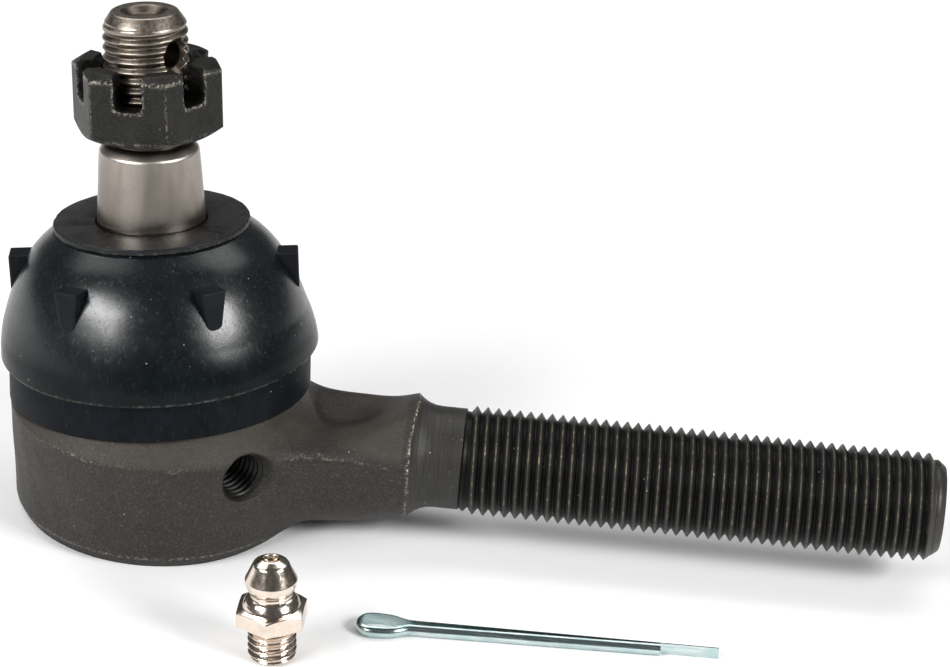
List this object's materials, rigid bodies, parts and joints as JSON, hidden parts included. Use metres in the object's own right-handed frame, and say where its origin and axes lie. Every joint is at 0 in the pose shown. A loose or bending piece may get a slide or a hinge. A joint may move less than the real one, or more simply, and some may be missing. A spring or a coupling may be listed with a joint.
{
  "type": "tie rod end",
  "caption": "Outer tie rod end: forged socket on a threaded shank, leaning ball stud with castle nut and rubber dust boot, with its loose grease fitting and cotter pin.",
  "frame": {"origin": "centre of the ball, which is on the shank's axis", "axes": "+X along the shank towards its threaded end, +Z along the stud when it stands square to the socket, away from the end cover"},
  "size_m": [0.1241, 0.0617, 0.0674],
  "materials": {
    "forged_steel": "phosphated forging",
    "ground_steel": "satin ground",
    "bearing_polymer": "greased acetal",
    "spring_steel": "bright",
    "boot_rubber": "smooth, semi-gloss",
    "phosphated_steel": "dark phosphate",
    "zinc_plate": "bright zinc",
    "nickel_plate": "bright nickel"
  },
  "bodies": {
    "socket": {"socket_housing": "forged_steel", "upper_bearing": "bearing_polymer", "preload_spring": "spring_steel", "end_cover_plate": "forged_steel"},
    "bearing_seat": {"lower_bearing": "bearing_polymer"},
    "boot": {"dust_boot": "boot_rubber"},
    "stud": {"ball_stud": "ground_steel"},
    "nut": {"castle_nut": "phosphated_steel"},
    "grease_fitting": {"grease_fitting_body": "nickel_plate", "check_ball_spring": "spring_steel"},
    "fitting_ball": {"check_ball": "spring_steel"},
    "split_pin": {"cotter_pin": "zinc_plate"}
  },
  "joints": [
    {"name": "bearing_turn", "type": "hinge", "parent": "socket", "child": "bearing_seat", "pos_m": [0, 0, 0], "axis": [0, 0, 1], "continuous": true},
    {"name": "stud_swing", "type": "hinge", "parent": "bearing_seat", "child": "boot", "pos_m": [0, 0, 0], "axis": [-0.7771, -0.6293, 0], "range_deg": [-33, 17], "deforming": ["dust_boot"]},
    {"name": "stud_spin", "type": "hinge", "parent": "boot", "child": "stud", "pos_m": [0, 0, 0], "axis": [-0.0876, 0.1082, 0.9903], "continuous": true},
    {"name": "castle_nut_turn", "type": "hinge", "parent": "stud", "child": "nut", "pos_m": [-0.00416, 0.00514, 0.04704], "axis": [-0.0876, 0.1082, 0.9903], "continuous": true},
    {"name": "grease_fitting_lift", "type": "slide", "parent": "socket", "child": "grease_fitting", "axis": [0, 0, 1], "range_m": [0, 0.03]},
    {"name": "check_ball_press", "type": "slide", "parent": "grease_fitting", "child": "fitting_ball", "axis": [0.0645, 0, -0.9979], "range_m": [0, 0.0006], "stiffness_N_per_m": 150, "springref_m": -0.0006, "deforming": ["check_ball_spring"]},
    {"name": "cotter_pin_lift", "type": "slide", "parent": "socket", "child": "split_pin", "axis": [0, 0, 1], "range_m": [0, 0.03]}
  ]
}
